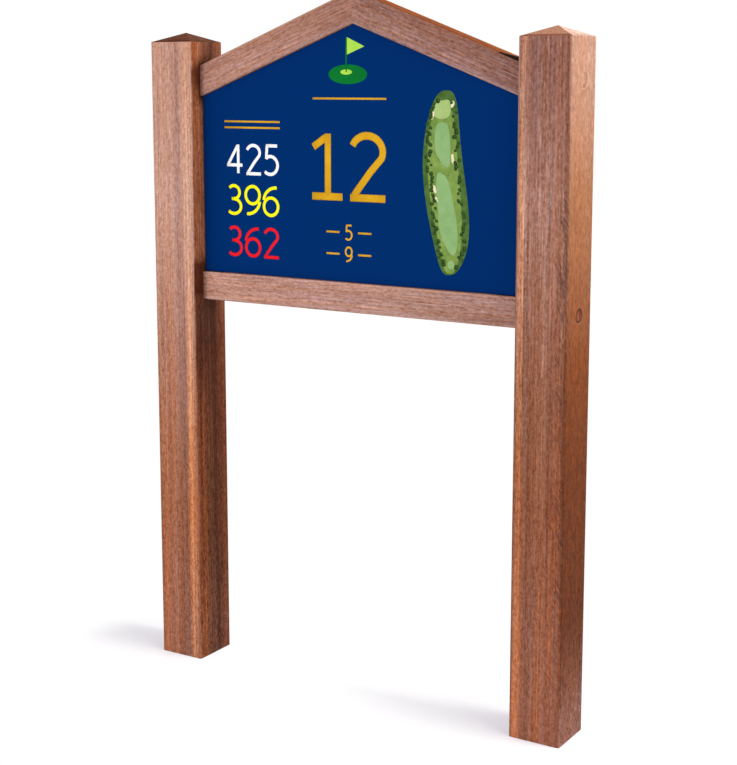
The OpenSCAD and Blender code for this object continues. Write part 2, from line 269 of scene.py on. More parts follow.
def make_figure_group():
    """Hardwood figure laid over a base colour, on metres whose Z runs along the grain."""
    tree, given = new_group("hardwood_figure", {
        "Vector": (0.0, 0.0, 0.0), "Base": (0.3, 0.15, 0.1, 1.0), "Pith X": 0.2, "Pith Y": 0.0,
        "Ring Spacing": 0.006, "Wander": 0.03, "Rings": 0.18, "Ribbon": 0.20, "Lines": 0.40,
        "Streaks": 0.20, "Grain": 0.50, "Threads": 0.20, "Speckle": 0.42, "Pores": 0.30, "Warmth": 0.32,
        "Strength": 1.0, "Lined": 1.0, "Line Scale": 260.0,
    })

    def band(factors, offset, detail, low, high, scale=1.0):
        """Noise from -0.5 to 0.5, stretched along the grain by its own factors."""
        place = given["Vector"].moved(offset).stretched(factors)
        return place.noise(scale, detail, 0.6).spread(low, high, -0.5, 0.5)

    sway = band((7.0, 7.0, 1.3), (0.0, 0.0, 0.0), 3.0, 0.0, 1.0)
    x, y, _ = given["Vector"].parts()
    radius = joined(x - given["Pith X"], y - given["Pith Y"]).length() + sway * given["Wander"]
    ring_inputs = {"W": radius / given["Ring Spacing"], "Scale": 1.0, "Detail": 3.0, "Roughness": 0.62}
    rings = radius.node("TexNoise", {"noise_dimensions": "1D"}, ring_inputs, "Fac")
    # Thin pale lines where a slow noise passes its middle, in broken lengths
    crossing = abs(band((110.0, 110.0, 2.2), (6.1, 3.4, 8.3), 1.5, 0.0, 1.0))
    kept = band((75.0, 75.0, 14.0), (2.1, 9.4, 4.3), 2.0, 0.44, 0.58) + 0.5
    marks = {
        "Rings": rings.spread(0.28, 0.72, -0.5, 0.5),
        "Ribbon": band((100.0, 100.0, 1.6), (1.3, 0.2, 0.9), 3.0, 0.30, 0.70),
        "Lines": band((1.0, 1.0, 0.012), (0.7, 2.2, 1.9), 3.0, 0.33, 0.67, given["Line Scale"]),
        "Streaks": band((300.0, 300.0, 26.0), (2.7, 1.2, 0.3), 3.0, 0.3, 0.7),
        "Threads": crossing.spread(0.008, 0.040, 1.0, 0.0) * kept,
        "Grain": band((235.0, 235.0, 88.0), (5.7, 3.2, 1.3), 4.0, 0.32, 0.68),
        "Speckle": band((300.0, 300.0, 210.0), (8.7, 7.2, 6.3), 3.0, 0.32, 0.68),
    }

    def together(*names):
        """The named marks, each in its own strength."""
        return sum(marks[name] * given[name] for name in names)

    slow = together("Rings", "Ribbon") * given["Lined"] * given["Strength"] + 1.0
    fine = together("Lines", "Streaks", "Threads") * given["Lined"] + together("Grain", "Speckle")
    fine = fine * given["Strength"]
    # A light fleck is paler than the base and a dark one deeper
    flecks = joined(*(fine * share + slow for share in (0.72, 1.08, 1.40)))
    hue = band((170.0, 170.0, 45.0), (9.1, 4.4, 3.3), 3.0, 0.32, 0.68) * 0.45
    hue = hue + band((95.0, 95.0, 2.4), (4.1, 8.4, 5.3), 2.0, 0.32, 0.68)
    hue = hue * given["Warmth"] * given["Strength"]
    warm = joined(*(hue * share + 1.0 for share in (0.35, -0.10, -0.75)))
    pores = band((950.0, 950.0, 60.0), (3.1, 1.7, 0.4), 2.0, 0.56, 0.68) + 0.5
    paler = 1.0 - pores * given["Pores"] * given["Strength"]
    give_out(tree, {
        "Color": given["Base"].stretched(flecks).stretched(warm).scaled(paler),
        "Wear": marks["Streaks"] * 0.6 + pores * 0.3 + 0.5,
        "Height": marks["Streaks"] * 0.5 - pores * 0.8 + marks["Grain"] * 0.25,
    })
    return tree


def make_arris_group():
    """Wear and painted light of the long edges of a bar that runs along Z, in broken lengths."""
    tree, given = new_group("arris_wear_and_painted_light", {
        "Vector": (0.0, 0.0, 0.0), "Half Across": 0.0475, "Half Deep": 0.0475, "Reach": 0.006,
    })
    x, y, _ = given["Vector"].parts()
    near = (given["Half Across"] - abs(x)).spread(0.0, given["Reach"], 1.0, 0.0)
    near = near * (given["Half Deep"] - abs(y)).spread(0.0, given["Reach"], 1.0, 0.0)
    broken = given["Vector"].noise((70.0, 70.0, 11.0), 4.0, 0.6).spread(0.35, 0.6)
    give_out(tree, {"Mask": near * broken})
    return tree


def make_joint_group():
    """How near a point of a post's inner face is to the end of a rail that butts it."""
    tree, given = new_group("joint_shade", {
        "Deep": 0.0, "Up": 0.0, "Half Deep": 0.021, "Low": 0.0, "High": 1.0, "Reach": 0.012,
    })
    off_deep = (abs(given["Deep"]) - given["Half Deep"]).larger(0.0)
    off_up = (given["Low"] - given["Up"]).larger(given["Up"] - given["High"]).larger(0.0)
    near = joined(off_deep, off_up).length().spread(0.0, given["Reach"], 1.0, 0.0)
    give_out(tree, {"Mask": near * near})
    return tree


FIGURE = make_figure_group()
ARRIS = make_arris_group()
JOINT = make_joint_group()


def new_material(name):
    """A new material, its shader, and the place and direction of the surface."""
    material = bpy.data.materials.new(name)
    material.use_nodes = True
    tree = material.node_tree
    outputs = tree.nodes.new("ShaderNodeTexCoord").outputs
    place, normal = (Field(tree, outputs[name]) for name in ("Object", "Normal"))
    return material, tree.nodes["Principled BSDF"], place, normal


def add_bump(shader, height, strength, distance):
    """Feeds a height to the shader's normal."""
    inputs = {"Height": height, "Strength": strength, "Distance": distance}
    fill(shader.inputs["Normal"], height.node("Bump", {}, inputs, "Normal"))


# Hardwood


TIMBER_GLOSS = 0.06
# Painted shade where the rails and the panel meet a post
PAINTED_JOINT_SHADE = srgb(52, 14, 2)
SHADE_TONE = srgb(6, 2, 1)
PLUG_RIM_PAINTED_LIGHT = srgb(255, 214, 186)
PLUG_RIM_LIGHT_SHARE = 0.24
# The heights on a post between which its figure changes, its front's bands fade, and the bands of
# its inner face give way to those of the painted shadow under the rail and come back beside it
FIGURE_HEIGHTS = (0.15, 0.85)
BAND_FADE_HEIGHTS = (0.50, 0.85)
UNDER_RAIL_HEIGHTS = (0.47, 0.61)
BESIDE_RAIL_HEIGHTS = (0.70, 0.74)
# How steeply a slope of the cap leans to its side, and how far in its eave shows
CAP_LEAN = (0.12, 0.25)
EAVE = (0.0095, 0.0065)


def figured(place, base, strengths):
    """The hardwood figure over a base colour."""
    return place.group(FIGURE, {"Vector": place, "Base": base, **strengths})


def finish_timber(shader, colour, figure, dry=0.0):
    """Colour, roughness and bump of oiled timber; dry is where it is sawn end grain."""
    rough = (figure["Wear"].between(0.48, 0.68) + (dry * 0.4)).spread(0.0, 1.0)
    fill_all(shader.inputs, {"Base Color": colour, "Roughness": rough, "Specular IOR Level": TIMBER_GLOSS})
    add_bump(shader, figure["Height"], 0.4, 0.0006)


def worn_and_painted_arris(place, half_across, half_deep, reach):
    """How worn a bar is near its long edges, where it also carries painted light and shade."""
    halves = {"Half Across": half_across, "Half Deep": half_deep}
    return place.group(ARRIS, {"Vector": place, "Reach": reach, **halves})["Mask"]


def waver(place, length_scale, reach):
    """A small sideways shift, in metres, that keeps bands from running dead straight."""
    return (place.noise((5.0, 5.0, length_scale), 4.0, 0.6) - 0.5) * reach


def painted_light_on_plug_rim(y, z):
    """Painted light on the rim of the upper plugs and of their holes, over the shade in their groove."""
    radius = joined(y, z - PLUG_HEIGHTS[1]).length()
    return abs(radius - PLUG_RADIUS).spread(0.0008, 0.0014, PLUG_RIM_LIGHT_SHARE, 0.0)


def shaded_joints(y, z, inner, colour, joints):
    """Paints shade on a post's inner face round the rail ends and along the panel's edge."""
    for centre_y, half_deep, low, high, reach, share in joints:
        mask = y.group(JOINT, {
            "Deep": y - centre_y, "Half Deep": half_deep, "Reach": reach, "Up": z, "Low": low, "High": high,
        })["Mask"]
        colour = (mask * inner * share).blend(colour, PAINTED_JOINT_SHADE)
    return colour


def side_tone(local, deep, side):
    """The tone of a post's side, painted lighter or darker for the light on it: by height, in bands across
    it, and with a mottle.
    """
    z = local.parts()[2]
    bands = deep.ramp(side["bands"])
    # Under the bottom rail, painted shadow in bands of its own
    if "bands_under_rail" in side:
        under = z.spread(*UNDER_RAIL_HEIGHTS) * z.spread(*BESIDE_RAIL_HEIGHTS, 1.0, 0.0)
        bands = under.blend(bands, deep.ramp(side["bands_under_rail"]))
    spots = local.noise((120.0, 120.0, 60.0), 3.0, 0.6)
    spots = spots.spread(0.3, 0.7, 1.0 - side["mottle"], 1.0 + side["mottle"])
    return z.spread(0.0, POST_TOP).ramp(side["heights"]).tinted(bands).scaled(spots)


def cap_tone(local, normal, spec):
    """The end grain of a post's cap: each slope in its own tone, painted for how it faces the light, with
    spots, streaks and a darker eave.
    """
    x, y, _ = local.parts()
    tone = spec["cap_front"]
    for axis, slope_tone in spec["cap_slopes"].items():
        tone = normal.facing(axis, *CAP_LEAN).blend(tone, slope_tone)
    tone = tone.tinted(local.noise(300.0, 4.0, 0.7).ramp(CAP_SPOTS))
    streaks = local.noise((34.0, 120.0, 20.0), 3.0, 0.6).spread(0.44, 0.60)
    tone = (streaks * 0.6).blend(tone, spec["cap_streak"])
    eave = abs(x).larger(abs(y)).spread(*(POST_HALF - inwards for inwards in EAVE))
    eave = eave * normal.facing("+X", *CAP_LEAN).between(0.80, 0.12)
    return eave.blend(tone, spec["eave"])


def feather_marks(local, normal, colour, marks):
    """Short dark slanting marks where the rings run out at an arris."""
    x, y, z = local.parts()
    slanted = joined(x, y, x * marks["slope"] + z)
    strokes = abs(slanted.noise((34.0, 20.0, 76.0), 3.0, 0.6) - 0.5).spread(0.008, 0.045, 1.0, 0.0)
    clusters = local.noise((60.0, 6.0, 24.0), 2.0, 0.5).spread(0.42, 0.60)
    low, high = marks["heights"]
    zone = x.spread(*marks["across"], smooth=True) * normal.facing("-Y", 0.3, 0.7)
    zone = zone * z.spread(low, low + 0.15) * z.spread(high, high - 0.20)
    return (strokes * clusters * zone * marks["share"]).blend(colour, marks["tone"])


def make_post_material(name, spec):
    """Oiled hardwood of a post: face tones and bands with painted light and shade, end grain on the cap,
    painted shade round the joints.
    """
    material, shader, place, normal = new_material(name)
    local = place.moved((-spec["centre_x"], 0.0, 0.0))
    x, y, z = local.parts()
    shift = waver(local, 2.2, spec["waver"])
    across, deep = ((side + shift).spread(-POST_HALF, POST_HALF) for side in (x, y))
    up = z.spread(0.0, POST_TOP)
    faded = z.spread(*BAND_FADE_HEIGHTS, 0.0, spec["bands_faded"])
    bands = faded.blend(across.ramp(spec["front_bands"]), NO_TINT)
    # The front's tone by height is partly painted light from above
    colour = up.ramp(spec["front_heights"]).tinted(bands)
    shares = {key: z.spread(*FIGURE_HEIGHTS, *ends) for key, ends in spec["figure_by_height"].items()}
    # Each side gets its own tone, painted for how it faces the light
    for axis in ("+X", "-X"):
        turned = normal.facing(axis, 0.45, 0.8)
        colour = turned.blend(colour, side_tone(local, deep, spec[axis]))
        for key, ends in spec[axis]["figure_by_height"].items():
            shares[key] = shares[key] * turned.between(1.0, z.spread(*FIGURE_HEIGHTS, *ends))
    figure = figured(local, colour, {**spec["figure"], **shares})
    colour = figure["Color"]
    if "marks" in spec:
        colour = feather_marks(local, normal, colour, spec["marks"])
    # Worn arris, in tones that also paint its highlight and shade
    edge_wear_and_light = worn_and_painted_arris(local, POST_HALF, POST_HALF, spec["arris_reach"]) * spec["arris_share"]
    edge_wear_and_light = edge_wear_and_light * normal.facing("+X", 0.3, 0.7).between(1.0, spec["arris_on_side"])
    colour = edge_wear_and_light.blend(colour, up.ramp(spec["arris_tones"]))
    # Painted light on the upper plug's rim
    colour = painted_light_on_plug_rim(y, z).blend(colour, PLUG_RIM_PAINTED_LIGHT)
    # Painted shade round the rail ends and along the panel's edge
    colour = shaded_joints(y, z, normal.facing(spec["inner"], 0.5, 0.8), colour, spec["joints"])
    on_cap = normal.facing("+Z", 0.5, 0.8)
    colour = on_cap.blend(colour, cap_tone(local, normal, spec))
    finish_timber(shader, colour, figure, on_cap)
    return material


CAP_SPOTS = tints((32, 50, 46, 42), (68, 150, 150, 148))
UNSEEN_SIDE = {
    "heights": tones((0, 150, 98, 76), (50, 164, 112, 92), (100, 186, 138, 118)),
    "bands": tints((0, 96, 94, 92), (30, 104, 104, 104), (60, 96, 96, 97), (100, 102, 100, 98)),
    "figure_by_height": {"Strength": (1.0, 1.0), "Lined": (0.9, 0.9), "Warmth": (1.0, 1.0)},
    "mottle": 0.06,
}
# A joint's painted shade: middle and half width across the post, low and high ends, reach and share
PANEL_EDGE = (-0.006, 0.006, RAIL_LOW.z, 1.10)
RAIL_END = (0.0, RAIL_HALF_DEPTH, RAIL_LOW.z - 0.016, RAIL_HIGH.z - 0.004)
GABLE_END = (0.0, RAIL_HALF_DEPTH, GABLE_END_LOW, GABLE_END_HIGH)
LEFT_POST = {
    "centre_x": -POST_CENTRE_X,
    "waver": 0.004,
    "figure_by_height": {"Strength": (1.36, 0.92), "Lined": (0.62, 0.96), "Warmth": (0.44, 0.22)},
    "bands_faded": 0.62,
    "figure": {"Pith X": -0.16, "Pith Y": 0.03, "Ring Spacing": 0.0055, "Ribbon": 0.22, "Lines": 0.32,
               "Grain": 0.46, "Threads": 0.24},
    # The front by height, lighter towards the top as painted light, and in bands across it; the pale band
    # near its right edge is partly painted highlight of the rounded arris
    "front_heights": tones(
        (5, 157, 100, 76), (24, 159, 99, 71), (36, 163, 105, 77), (49, 173, 120, 99), (74, 192, 146, 129),
        (92, 187, 139, 120),
    ),
    "front_bands": tints(
        (0, 96, 93, 90), (16, 105, 102, 98), (34, 93, 90, 92), (41, 105, 105, 103), (50, 90, 91, 97),
        (60, 76, 77, 87), (69, 74, 76, 88), (76, 88, 90, 96), (80, 130, 132, 120), (83, 174, 174, 142),
        (87, 168, 170, 142), (89, 116, 120, 118), (92, 142, 146, 136), (96, 98, 98, 98), (100, 82, 82, 84),
    ),
    # The inner face: painted shade where the other post, the panel and the rails shadow it, darkest under
    # the bottom rail and in a band down its middle
    "+X": {
        "heights": tones(
            (5, 119, 68, 46), (20, 105, 55, 31), (50, 106, 55, 33), (52.5, 104, 54, 32), (56, 120, 68, 46),
            (62, 148, 90, 65), (80, 146, 88, 62), (98, 143, 84, 57),
        ),
        "bands": tints(
            (0, 145, 140, 126), (14, 128, 114, 94), (22, 166, 162, 146), (27, 106, 108, 102),
            (34, 108, 116, 122), (41, 74, 80, 88), (54, 70, 77, 88), (60, 48, 48, 54), (68, 70, 72, 80),
            (80, 94, 94, 100), (100, 115, 112, 112),
        ),
        "bands_under_rail": tints(
            (0, 62, 56, 46), (16, 60, 52, 42), (22, 86, 84, 72), (28, 54, 54, 52), (55, 58, 64, 70),
            (60, 42, 42, 48), (68, 84, 84, 84), (80, 118, 116, 114), (100, 124, 126, 124),
        ),
        "figure_by_height": {"Strength": (1.62, 1.45), "Lined": (1.35, 1.35), "Warmth": (0.8, 0.8)},
        "mottle": 0.06,
    },
    "-X": UNSEEN_SIDE,
    "inner": "+X",
    "joints": (
        (*RAIL_END, 0.016, 0.36),
        (-0.012, 0.014, RAIL_LOW.z - 0.030, RAIL_LOW.z, 0.050, 0.32),
        (-0.030, 0.030, RAIL_LOW.z + 0.014, RAIL_HIGH.z + 0.014, 0.026, 0.80),
        (*GABLE_END, 0.032, 0.98),
        (-0.030, 0.030, GABLE_END_LOW + 0.026, GABLE_END_HIGH - 0.009, 0.017, 0.53),
        (-0.012, 0.022, GABLE_END_LOW + 0.014, GABLE_END_HIGH - 0.004, 0.012, 0.42),
        (*PANEL_EDGE, 0.006, 0.95),
    ),
    # The arris's tones by height, partly painted highlight, palest at the top
    "arris_tones": tones((0, 160, 106, 80), (50, 190, 140, 116), (100, 222, 184, 166)),
    "arris_share": 0.7,
    "arris_reach": 0.0045,
    "arris_on_side": 1.0,
    # Each slope of the cap gets its own tone, painted for how it faces the light
    "cap_front": srgb(100, 58, 42),
    "cap_slopes": {"+X": srgb(106, 66, 50), "-X": srgb(140, 96, 74), "+Y": srgb(132, 88, 68)},
    "cap_streak": srgb(62, 28, 16),
    "eave": srgb(66, 24, 12),
}
RIGHT_POST = {
    "centre_x": POST_CENTRE_X,
    "waver": 0.0035,
    "figure_by_height": {"Strength": (1.18, 1.14), "Lined": (0.52, 1.0), "Warmth": (0.50, 0.28)},
    "bands_faded": 0.06,
    "figure": {"Pith X": 0.17, "Pith Y": 0.02, "Ring Spacing": 0.005, "Ribbon": 0.28, "Lines": 0.38,
               "Streaks": 0.28, "Grain": 0.48, "Threads": 0.46, "Line Scale": 320.0},
    "front_heights": tones(
        (5, 152, 94, 70), (20, 147, 91, 67), (34, 140, 83, 57), (46, 141, 88, 64), (56, 149, 97, 75),
        (77, 163, 116, 99), (93, 146, 99, 84),
    ),
    "front_bands": tints(
        (0, 100, 108, 112), (6, 116, 120, 116), (8, 154, 152, 130), (15, 156, 155, 132),
        (17, 116, 120, 118), (21, 96, 98, 104), (29, 84, 84, 91), (36, 79, 81, 90), (42, 95, 97, 102),
        (50, 94, 94, 95), (54.8, 102, 98, 95), (56, 130, 130, 130), (57.2, 96, 100, 104),
        (61, 104, 108, 110), (68, 89, 84, 88), (78, 97, 91, 88), (90, 92, 86, 85), (100, 62, 58, 58),
    ),
    # The outer face, towards the lamp on the right: painted light, palest at the top and darker lower down
    "+X": {
        "heights": tones(
            (3, 148, 98, 82), (10, 122, 69, 45), (18, 101, 47, 16), (28, 108, 51, 17), (40, 115, 56, 20),
            (54, 134, 70, 32), (77, 179, 118, 81), (95, 207, 155, 130),
        ),
        "bands": tints(
            (0, 97, 98, 100), (30, 104, 99, 94), (50, 101, 99, 98), (68, 104, 107, 108), (86, 95, 97, 100),
            (100, 112, 112, 108),
        ),
        "figure_by_height": {"Strength": (1.62, 0.66), "Lined": (0.20, 0.20), "Warmth": (0.85, 0.85)},
        "mottle": 0.17,
    },
    "-X": UNSEEN_SIDE,
    "inner": "-X",
    "joints": (
        (*RAIL_END, 0.016, 0.8),
        (0.0, RAIL_HALF_DEPTH, RAIL_LOW.z - 0.046, RAIL_LOW.z, 0.050, 0.6),
        (*GABLE_END, 0.016, 0.8),
        (*PANEL_EDGE, 0.005, 0.8),
    ),
    "marks": {"slope": 1.7, "across": (0.018, 0.038), "heights": (0.06, 1.06), "share": 0.80,
              "tone": srgb(74, 48, 46)},
    # The arris's tones by height, partly painted shade down the middle and highlight at the top
    "arris_tones": tones(
        (0, 140, 96, 80), (8, 106, 68, 56), (22, 82, 52, 44), (45, 76, 48, 42), (70, 88, 58, 50),
        (82, 140, 98, 84), (100, 206, 158, 138),
    ),
    "arris_share": 1.6,
    "arris_reach": 0.0050,
    "arris_on_side": 0.12,
    # Each slope of the cap gets its own tone, painted for how it faces the light
    "cap_front": srgb(166, 120, 98),
    "cap_slopes": {"+X": srgb(230, 196, 182), "-X": srgb(190, 138, 108), "+Y": srgb(176, 122, 94)},
    "cap_streak": srgb(160, 108, 82),
    "eave": srgb(108, 60, 44),
}


RAIL_ARRIS_REACH = 0.0045
END_SHADE_REACH = 0.011
END_SHADE_SHARE = 0.62
# A post's painted shadow on a rail's top: where along the rail it narrows, and how deep it starts
TOP_SHADE_RUN = (0.016, 0.054)
TOP_SHADE_DEPTH = 0.024


def turned_grain(place, turn):
    """A piece's own height, depth and length, where its length is turned from the level in XZ."""
    inputs = {"Vector": place, "Rotation": (0.0, turn, 0.0)}
    along, deep, up = place.node("Mapping", {}, inputs).parts()
    return joined(up, deep, along)


def make_rail_material(name, spec):
    """Oiled hardwood of a rail: grain along the rail, tones across it, painted light on top and underside,
    painted shade at the ends and in a post's shadow.
    """
    material, shader, place, normal = new_material(name)
    grain = turned_grain(place.moved([-value for value in spec["centre"]]), spec["turn"])
    up, deep, _ = grain.parts()
    half = RAIL_HALF_HEIGHT
    across = (up + waver(grain, 2.0, 0.010)).spread(-half, half)
    world_x = place.parts()[0]
    colour = world_x.spread(*spec["run"]).ramp(spec["lengths"]).tinted(across.ramp(spec["bands"]))
    # The top and the underside each get their own tone, painted for how light falls on them, with the top's
    # front edge in a tone of its own
    on_top = normal.facing("+Z", 0.6, 0.9)
    colour = on_top.blend(colour, deep.spread(-0.020, -0.008).blend(spec["top_edge"], spec["top_tone"]))
    colour = normal.facing("-Z", 0.6, 0.9).blend(colour, spec["under_tone"])
    figure = figured(grain, colour, spec["figure"])
    # Worn arris, in tones that also paint its highlight and shade
    arris_tone = up.spread(-0.01, 0.01).blend(spec["arris_tone"], spec["top_arris_tone"])
    edge_wear_and_light = worn_and_painted_arris(grain, half, RAIL_HALF_DEPTH, RAIL_ARRIS_REACH) * spec["arris_share"]
    colour = edge_wear_and_light.blend(figure["Color"], arris_tone)
    to_post = INNER_X - abs(world_x)
    # Painted shade at the rail's ends, next to a post
    colour = to_post.spread(0.0, END_SHADE_REACH, END_SHADE_SHARE, 0.0).blend(colour, PAINTED_JOINT_SHADE)
    # Painted shadow of a post: next to it the top is dark from the front edge back, and so is a thin wedge
    # along the front's top edge
    shade_end = to_post.spread(*TOP_SHADE_RUN, TOP_SHADE_DEPTH, -TOP_SHADE_DEPTH)
    top_shade = (shade_end - deep).spread(0.0, 0.004) * normal.facing("+Z", *spec["top_shade_facing"])
    wedge = (up + to_post.spread(0.018, 0.050, spec["wedge"], 0.0)).spread(half, half + 0.001)
    wedge = wedge * normal.facing("-Y", 0.3, 0.6)
    colour = top_shade.larger(wedge).blend(colour, SHADE_TONE)
    finish_timber(shader, colour, figure, on_top)
    return material


RAIL_FIGURE = {"Pith X": 0.20, "Pith Y": 0.06, "Ring Spacing": 0.005, "Ribbon": 0.18, "Lines": 0.38,
               "Streaks": 0.40, "Grain": 0.50, "Threads": 0.40, "Speckle": 0.32}
BOTTOM_RAIL = {
    "centre": (0.0, 0.0, RAIL_CENTRE_Z),
    "turn": 0.0,
    "run": (-INNER_X, INNER_X),
    "lengths": tones((10, 185, 136, 119), (40, 176, 132, 120), (70, 170, 128, 115), (100, 162, 118, 106)),
    "bands": tints(
        (5, 98, 96, 94), (18, 93, 90, 87), (36, 98, 98, 99), (55, 105, 104, 104), (75, 105, 107, 108),
        (100, 102, 100, 99),
    ),
    "top_tone": srgb(120, 76, 58),
    "top_edge": srgb(112, 68, 50),
    "under_tone": srgb(130, 84, 66),
    "arris_tone": srgb(214, 172, 156),
    "top_arris_tone": srgb(214, 172, 156),
    "arris_share": 0.5,
    "wedge": 0.0,
    "top_shade_facing": (0.8, 0.95),
    "figure": RAIL_FIGURE,
}
LEFT_GABLE = {
    **BOTTOM_RAIL,
    "centre": (-INNER_X / 2, 0.0, GABLE_CENTRE_Z),
    "turn": GABLE_SLOPE,
    "run": (-INNER_X, 0.0),
    "lengths": tones((10, 174, 127, 111), (50, 168, 122, 107), (90, 157, 111, 96)),
    "bands": tints(
        (5, 98, 97, 96), (24, 92, 92, 94), (38, 99, 100, 100), (55, 113, 112, 112), (68, 102, 104, 106),
        (84, 92, 90, 88), (100, 86, 83, 80),
    ),
    "top_tone": srgb(150, 96, 70),
    "top_edge": srgb(124, 70, 44),
    "arris_share": 0.3,
}
RIGHT_GABLE = {
    **BOTTOM_RAIL,
    "centre": (INNER_X / 2, 0.0, GABLE_CENTRE_Z),
    "turn": -GABLE_SLOPE,
    "run": (0.0, INNER_X),
    "lengths": tones((0, 153, 110, 97), (50, 146, 104, 93), (100, 138, 98, 88)),
    "bands": tints(
        (5, 108, 110, 112), (24, 88, 89, 92), (36, 108, 110, 110), (46, 101, 97, 94), (56, 112, 112, 110),
        (70, 100, 100, 102), (85, 89, 85, 84), (100, 72, 63, 58),
    ),
    "top_tone": srgb(142, 76, 38),
    "top_edge": srgb(110, 52, 24),
    "top_arris_tone": srgb(116, 70, 44),
    "arris_share": 0.7,
    "wedge": 0.0026,
    "top_shade_facing": (0.3, 0.6),
    "figure": {**RAIL_FIGURE, "Strength": 1.22},
}


def make_bead_material(name, turn):
    """Plainer oiled hardwood of a bead or batten, whose length is turned from the level in XZ."""
    material, shader, place, _ = new_material(name)
    tone = place.noise(9.0, 3.0, 0.6).spread(0.3, 0.7)
    base = tone.ramp(tones((0, 150, 98, 76), (100, 184, 132, 108)))
    figure = figured(turned_grain(place, turn), base, {"Pith X": 0.3, "Pith Y": 0.2})
    finish_timber(shader, figure["Color"], figure)
    return material


BEAD_TURNS = {
    "bottom_bead": 0.0,
    "left_gable_bead": GABLE_SLOPE,
    "right_gable_bead": -GABLE_SLOPE,
    "left_batten": math.pi / 2,
    "right_batten": math.pi / 2,
}
# Short dark checks: place along Y and Z from the middle, half width, half height, and strength on
# the lower and on the upper plugs
PLUG_CHECKS = (
    (0.0030, 0.0030, 0.0018, 0.0075, 0.70, 0.0),
    (0.0005, 0.0050, 0.0012, 0.0055, 0.0, 0.80),
    (0.0010, -0.0085, 0.0020, 0.0026, 0.0, 1.0),
)


def make_plug_material():
    """Cross-grain plugs, toned as the post's outer face round them with its painted light by height, with a
    dark glue ring and painted light on the upper rim.
    """
    material, shader, place, _ = new_material("plug_hardwood")
    x, y, z = place.parts()
    upper = z.spread(0.9, 0.95)
    right = x.spread(-0.1, 0.1)
    left_tone = upper.blend(srgb(164, 112, 92), srgb(180, 130, 110))
    right_tone = upper.blend(srgb(134, 78, 50), srgb(212, 156, 126))
    strengths = {"Pith X": 0.3, "Pith Y": 0.1, "Streaks": 0.4}
    figure = figured(place, right.blend(left_tone, right_tone), strengths)
    middle = upper.between(*PLUG_HEIGHTS)
    radius = joined(y, z - middle).length()
    broken = place.noise((1.0, 150.0, 70.0), 3.0, 0.6).spread(0.36, 0.6)
    ring_inside = broken.between(PLUG_RADIUS - 0.0020, PLUG_RADIUS - 0.0050)
    dark = (radius - ring_inside).spread(-0.0008, 0.0008) * upper.between(0.88, 0.0)
    for centre_y, centre_z, half_width, half_height, on_lower, on_upper in PLUG_CHECKS:
        check = abs(y - centre_y).spread(half_width * 0.5, half_width * 1.5, 1.0, 0.0)
        off_z = abs(z - (middle + centre_z))
        check = check * off_z.spread(half_height * 0.6, half_height * 1.4, 1.0, 0.0)
        dark = dark.larger(check * upper.between(on_lower, on_upper))
    # Painted light on the upper rim
    colour = painted_light_on_plug_rim(y, z).blend(figure["Color"], PLUG_RIM_PAINTED_LIGHT)
    dark_tone = upper.blend(srgb(92, 34, 14), srgb(150, 78, 48))
    finish_timber(shader, (dark * right.between(0.35, 1.0)).blend(colour, dark_tone), figure)
    return material


# Sheets, metal and plastic


# Kinds of finish: detail and roughness of the noise of its patches, where they start and end, how much
# rougher they are, strength and distance of the bump, and the noise that makes it, or else the patches
PLAIN = {"noise": (4.0, 0.6), "limits": (0.3, 0.7), "rougher": 0.15, "bump": (0.2, 0.0003)}
PRINT = {"noise": (4.0, 0.65), "limits": (0.35, 0.65), "rougher": 0.08, "bump": (0.08, 0.0002),
         "peel": (420.0, 2.0, 0.5)}
SHEET = {**PRINT, "noise": (3.0, 0.55), "limits": (0.3, 0.7), "rougher": 0.12}
METAL = {**PRINT, "rougher": 0.2, "bump": (0.15, 0.0001), "peel": (1400.0, 2.0, 0.6)}
# Name, kind, two close colours, scale of the patches, roughness, gloss, and the CAD nodes that have it
FINISHES = (
    ("navy_print", SHEET, (0, 45, 105), (0, 43, 103), 3.0, 0.55, 0.008, "panel_face"),
    ("back_sheet", SHEET, (206, 206, 202), (196, 197, 194), 3.0, 0.40, 0.3, "panel_back"),
    ("board_edge", PLAIN, (190, 160, 118), (160, 128, 90), 60.0, 0.7, 0.5, "panel_core", "apex_tongue"),
    ("dowel_wood", PLAIN, (204, 174, 128), (186, 152, 104), 90.0, 0.6, 0.5, "rail_dowels"),
    ("packer_plastic", PLAIN, (44, 44, 46), (36, 36, 38), 200.0, 0.5, 0.5, "panel_packers"),
    ("zinc_plate", METAL, (198, 200, 202), (168, 170, 172), 260.0, 0.32, 0.5,
     "coach_screws", "screw_washers"),
    ("dull_brass", METAL, (206, 172, 108), (160, 126, 74), 260.0, 0.34, 0.5,
     "bead_screws", "panel_screws"),
)


def make_finish(name, kind, tone, other_tone, scale, rough, gloss):
    """A finish in two close colours, in patches of noise, with a fine bump and, on sheet, light scuffs."""
    material, shader, place, _ = new_material(name)
    patch = place.noise(scale, *kind["noise"]).spread(*kind["limits"])
    worn = place.noise((30.0, 30.0, 9.0), 5.0, 0.7).spread(0.45, 0.75) if kind is SHEET else patch
    fill_all(shader.inputs, {
        "Base Color": patch.blend(srgb(*tone), srgb(*other_tone)),
        "Roughness": worn.between(rough, rough + kind["rougher"]),
        "Metallic": 1.0 if kind is METAL else 0.0,
        "Specular IOR Level": gloss,
    })
    add_bump(shader, patch if kind is PLAIN else place.noise(*kind["peel"]), *kind["bump"])
    return material


def paint(material, *node_names):
    """Gives CAD nodes their material."""
    for node_name in node_names:
        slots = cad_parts[node_name].data.materials
        slots.clear()
        slots.append(material)


